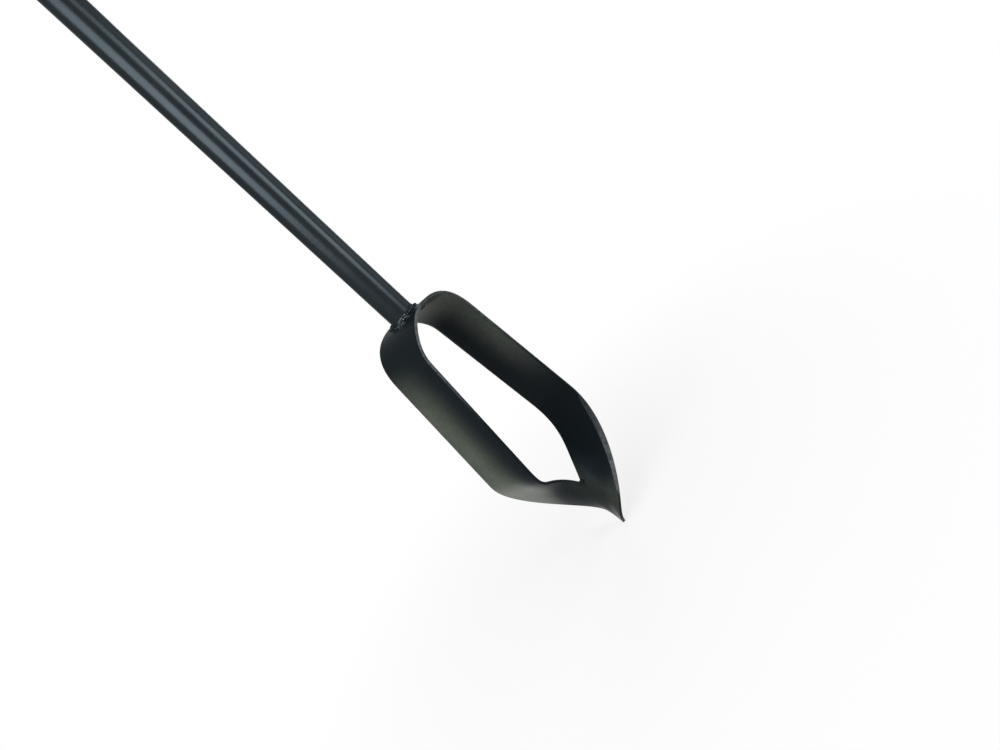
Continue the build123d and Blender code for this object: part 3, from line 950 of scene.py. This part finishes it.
# Each string is its points, whether it closes, and its share of the bead radius
def weldStrings(name, strings):
    points, edges, sizes = [], [], []
    for path, closed, size in strings:
        first, count = len(points), len(path)
        points += [tuple(p) for p in path]
        edges += [(first + k, first + (k + 1) % count) for k in range(count if closed else count - 1)]
        sizes += [size] * count
    lines = bpy.data.meshes.new(name)
    lines.from_pydata(points, edges, [])
    lines.attributes.new("beadSize", "FLOAT", "POINT").data.foreach_set("value", sizes)
    length = sum((Vector(points[a]) - Vector(points[b])).length for a, b in edges)
    return lines, length


def keepLargest(mesh):  # drops the crumbs that the fusing leaves beside a bead
    work = bmesh.new()
    work.from_mesh(mesh)
    left, islands = set(work.verts), []
    for first in work.verts:
        if first not in left:
            continue
        left.remove(first)
        island = [first]
        for vert in island:
            near = [edge.other_vert(vert) for edge in vert.link_edges]
            fresh = [other for other in near if other in left]
            left.difference_update(fresh)
            island += fresh
        islands.append(island)
    islands.sort(key=len)
    crumbs = [vert for island in islands[:-1] for vert in island]
    bmesh.ops.delete(work, geom=crumbs, context="VERTS")
    work.to_mesh(mesh)
    work.free()


def markBare(mesh, spots):  # how bare the metal is, by the distance to the curls
    places = np.empty(len(mesh.vertices) * 3, np.float32)
    mesh.vertices.foreach_get("co", places)
    gaps = np.linalg.norm(places.reshape(-1, 1, 3) - np.array(spots), axis=2).min(1)
    shares = fade(gaps, *anyWeld["bareReach"])
    mesh.attributes.new("bare", "FLOAT", "POINT").data.foreach_set("value", shares)


def fuseBead(bead, voxel):
    fuse = bead.modifiers.new("fuse", "REMESH")
    fuse.mode = "VOXEL"
    fuse.voxel_size = voxel
    fuse.use_smooth_shade = True
    flow = bead.modifiers.new("flow", "SMOOTH")
    flow.factor = anyWeld["flow"]
    flow.iterations = anyWeld["flowRounds"]


def makeWeld(name, node, weld, strings, tree, fillet=None):
    lines, length = weldStrings(name, strings)
    bead = addObject(name, lines)
    area = 4 * math.pi * weld["radius"]**2 * anyWeld["ballShown"] * length / weld["pitch"]
    inputs = {label: weld[key] for label, key in beadSizes.items()}
    inputs.update({"Seed": weld["seed"], "Paint": weldFinish})
    if fillet:
        area += sum(face.area for face in fillet.polygons)
        inputs["Fillet"] = bpy.data.objects.new(name + "Fillet", fillet)
    inputs["Spatter density"] = weld["spatter"] / area
    growParts(bead, "ripples", tree, inputs)
    fuseBead(bead, weld["voxel"])
    mesh = bakePiece(name, bead)
    keepLargest(mesh)
    mesh.materials.clear()  # the fusing drops the material
    mesh.materials.append(weldFinish)
    if fillet:
        dropObject(inputs["Fillet"])
        markBare(mesh, [p for path, closed, size in strings if not closed for p in path])
    placePiece(name, mesh, node)


# Gives places by their turn, reach along the base, rise up the wall and lift off the face
def filletPlace(weld, outline, baseHeight, side):
    along = np.roll(outline, -1, 0) - np.roll(outline, 1, 0)
    away = np.stack([along[:, 1], -along[:, 0]], 1) / np.linalg.norm(along, axis=1)[:, None]
    turns = np.arctan2(outline[:, 1], outline[:, 0])

    def place(turn, reach, rise, lift=0.0):
        wall, out = [np.array([np.interp(turn, turns, rows[:, k], period=math.tau) for k in (0, 1)])
                     for rows in (outline, away)]
        swell = 1 + anyWeld["swell"] * sum(math.sin(rate * turn + shift) for rate, shift in anyWeld["waves"])
        x, y = wall + out * (weld["baseLeg"] * swell * reach + lift)
        y = max(-weld["depth"], min(weld["depth"], y))
        return np.array((x, y, baseHeight(x, y) + side * (weld["wallLeg"] * swell * rise + lift)))
    return place


def filletShare(weld, share):  # reach and rise on the hollow face, from the wall at 0 to the base at 1
    turn = min(share, 1) * math.pi / 2
    flat, hollow = 1 - weld["hollow"], weld["hollow"]
    reach = flat * share + hollow * (max(share, 1) - math.cos(turn))
    rise = flat * (1 - min(share, 1)) + hollow * (1 - math.sin(turn))
    return reach, rise


def makeFilletWeld(name, node, weld, place, tree):
    turns = ringTurns(weld["columns"])
    rings = []
    for turn in turns:
        ring = [place(turn, *filletShare(weld, s)) for s in np.linspace(0, 1, anyWeld["rows"])]
        ring += [place(turn, reach, rise, -anyWeld["sink"]) for reach, rise in ((1, 0), (0, 0), (0, 1))]
        rings.append(ring)
    faces = ringFaces(len(rings), len(rings[0]), True)
    fillet = buildMesh(name + "Fillet", np.concatenate(rings), faces, weldFinish)
    strings = [([place(turn, *filletShare(weld, weld["ridge"])) for turn in turns], True, 1.0)]
    for start, end in np.array(weld["curls"]):
        curl = []
        for s in np.linspace(0, 1, anyWeld["curlPoints"]):
            turn, share = mix(start, end, s)
            lift = weld["curlLift"] * math.sin(math.pi * s)
            curl.append(place(math.radians(turn), *filletShare(weld, share), lift))
        strings.append((curl, False, weld["curlSize"]))
    makeWeld(name, node, weld, strings, tree, fillet)


def makeWelds():
    tree = weldBeadTree()
    headPlace = filletPlace(headWeld, shaftRing(0.0, 0.0), crownHeight, 1)
    makeFilletWeld("weldHead", "head_weld", headWeld, headPlace, tree)
    teePlace = filletPlace(teeWeld, shaftRing(0.0, 1.0), barUnderside, -1)
    makeFilletWeld("weldTee", "tee_weld", teeWeld, teePlace, tree)
    reach = bladeStrip["width"] / 2 + seamWeld["overhang"]
    z = hoopTop - bladeStrip["thickness"]
    seam = [([(0, -reach, z), (0, reach, z)], False, 1.0)]
    makeWeld("weldCrownSeam", "crown_seam_weld", seamWeld, seam, tree)
    throat = Vector((0, 0, bladeStrip["throatHeight"] + throatWeld["rise"]))
    trailRun = Vector(stripRails()[1][2, -1])
    across = trailRun.cross(Vector((0, 0, 1))).normalized() * throatWeld["reach"]
    crotch = [([throat - across, throat + across], False, 1.0)]
    makeWeld("weldThroat", "throat_weld", throatWeld, crotch, tree)


makeWelds()


# Label: blank oval film wrapped on the front of the shaft
labelFilm = {"rings": 14, "columns": 72, "firstRing": 0.02, "lift": 0.00004, "rimStart": 0.9}


def makeLabel():
    radius, columns, rimStart = shaftTube["diameter"] / 2, labelFilm["columns"], labelFilm["rimStart"]
    thickness = -labelLow.y - radius
    centre = (labelLow.z + labelHigh.z) / 2
    halfHeight = (labelHigh.z - labelLow.z) / 2
    halfChord = (labelHigh.x - labelLow.x) / 2
    shares = list(np.sqrt(np.linspace(labelFilm["firstRing"]**2, 1, labelFilm["rings"])))
    layers = [(s, thickness) for s in shares] + [(s, labelFilm["lift"]) for s in shares[::-1]]
    points, wear = [], []
    for share, height in layers:
        r = radius + height
        for a in ringTurns(columns):
            turn = math.asin(halfChord * share * math.cos(a) / radius)
            z = centre + halfHeight * share * math.sin(a)
            points.append((r * math.sin(turn), -r * math.cos(turn), z))
            wear.append(max(0.0, (share - rimStart) / (1 - rimStart)))
    faces = ringFaces(len(layers), columns, False) + capFaces(len(layers), columns)
    sharp = ringEdges((len(shares) - 1, len(shares)), columns)
    mesh = buildMesh("labelBlank", points, faces, filmFinish, {"edgeWear": wear}, sharp)
    placePiece("labelBlank", mesh, "label")


makeLabel()


# Floor and light: a white room with softboxes left, in front, high in front, faint right, behind and above
studio = {
    "floorSize": 14.0, "floorWhite": 0.95, "floorShade": 0.25, "shadeReach": 0.55, "floorBounce": 0.55,
    "worldFill": 0.12, "target": (0.0, 0.0, 0.35),
}
softboxes = {
    "softboxLeft": {"azimuth": -78, "elevation": 22, "distance": 1.7, "size": (1.5, 0.9), "radiance": 5.7},
    "softboxRight": {"azimuth": 9, "elevation": 12, "distance": 1.8, "size": (0.80, 1.1), "radiance": 5.8},
    "softboxFront": {"azimuth": 2, "elevation": 38, "distance": 2.0, "size": (0.5, 0.4), "radiance": 3.0},
    "softboxFill": {"azimuth": 58, "elevation": 10, "distance": 1.9, "size": (1.3, 1.5), "radiance": 1.0},
    "softboxBack": {"azimuth": 118, "elevation": 12, "distance": 2.0, "size": (1.1, 1.3), "radiance": 2.4},
    "softboxTop": {"azimuth": 0, "elevation": 70, "distance": 1.9, "size": (1.2, 0.36), "radiance": 3.4},
}


def seenWhite(wire):  # 1 for rays that should meet the white background
    path = wire.tree.nodes.new("ShaderNodeLightPath")
    rays = ("Is Camera Ray", "Is Glossy Ray", "Is Transmission Ray")
    camera, glossy, through = [Wire(wire.tree, path.outputs[ray]) for ray in rays]
    return (camera + glossy + through).clamp()


def makeFloor():
    half = studio["floorSize"] / 2
    mesh = bpy.data.meshes.new("floor")
    corners = [(-half, -half, 0), (half, -half, 0), (half, half, 0), (-half, half, 0)]
    mesh.from_pydata(corners, [], [(0, 1, 2, 3)])
    material = bpy.data.materials.new("paleFloor")
    tree = emptyTree(material)
    wire = Wire(tree)
    output = tree.nodes.new("ShaderNodeOutputMaterial")
    white = wire.node("ShaderNodeEmission", {"Color": grey(1.0), "Strength": 1.0})
    shade = wire.node("ShaderNodeBsdfDiffuse", {"Color": grey(studio["floorWhite"])})
    bounce = wire.node("ShaderNodeBsdfDiffuse", {"Color": grey(studio["floorBounce"])})
    place = wire.node("ShaderNodeTexCoord", out="Object")
    away = wire.node("ShaderNodeVectorMath", {0: place}, "Value", operation="LENGTH")
    near = (1 - away.ramp(0.0, studio["shadeReach"])) * studio["floorShade"]
    seen = wire.node("ShaderNodeMixShader", {"Fac": near, 1: white, 2: shade})
    both = wire.node("ShaderNodeMixShader", {"Fac": seenWhite(wire), 1: bounce, 2: seen})
    wire.join(both, output.inputs["Surface"])
    mesh.materials.append(material)
    addObject("floor", mesh)


def makeWorld():
    world = bpy.data.worlds.new("whiteRoom")
    bpy.context.scene.world = world
    tree = emptyTree(world)
    wire = Wire(tree)
    strength = seenWhite(wire).atLeast(studio["worldFill"])
    room = wire.node("ShaderNodeBackground", {"Color": grey(1.0), "Strength": strength})
    output = tree.nodes.new("ShaderNodeOutputWorld")
    wire.join(room, output.inputs["Surface"])


def makeSoftboxes():
    target = Vector(studio["target"])
    for name, box in softboxes.items():
        light = bpy.data.lights.new(name, "AREA")
        light.shape = "RECTANGLE"
        light.size, light.size_y = box["size"]
        light.energy = box["radiance"] * math.pi * box["size"][0] * box["size"][1]
        lamp = addObject(name, light)
        turn, lift = math.radians(box["azimuth"]), math.radians(box["elevation"])
        away = Vector((math.sin(turn) * math.cos(lift), -math.cos(turn) * math.cos(lift), math.sin(lift)))
        lamp.location = target + away * box["distance"]
        lamp.rotation_euler = away.to_track_quat("Z", "Y").to_euler()
        lamp.visible_camera = False


makeFloor()
makeWorld()
makeSoftboxes()
bpy.context.scene.view_settings.view_transform = "Standard"
print("floor and lights set")
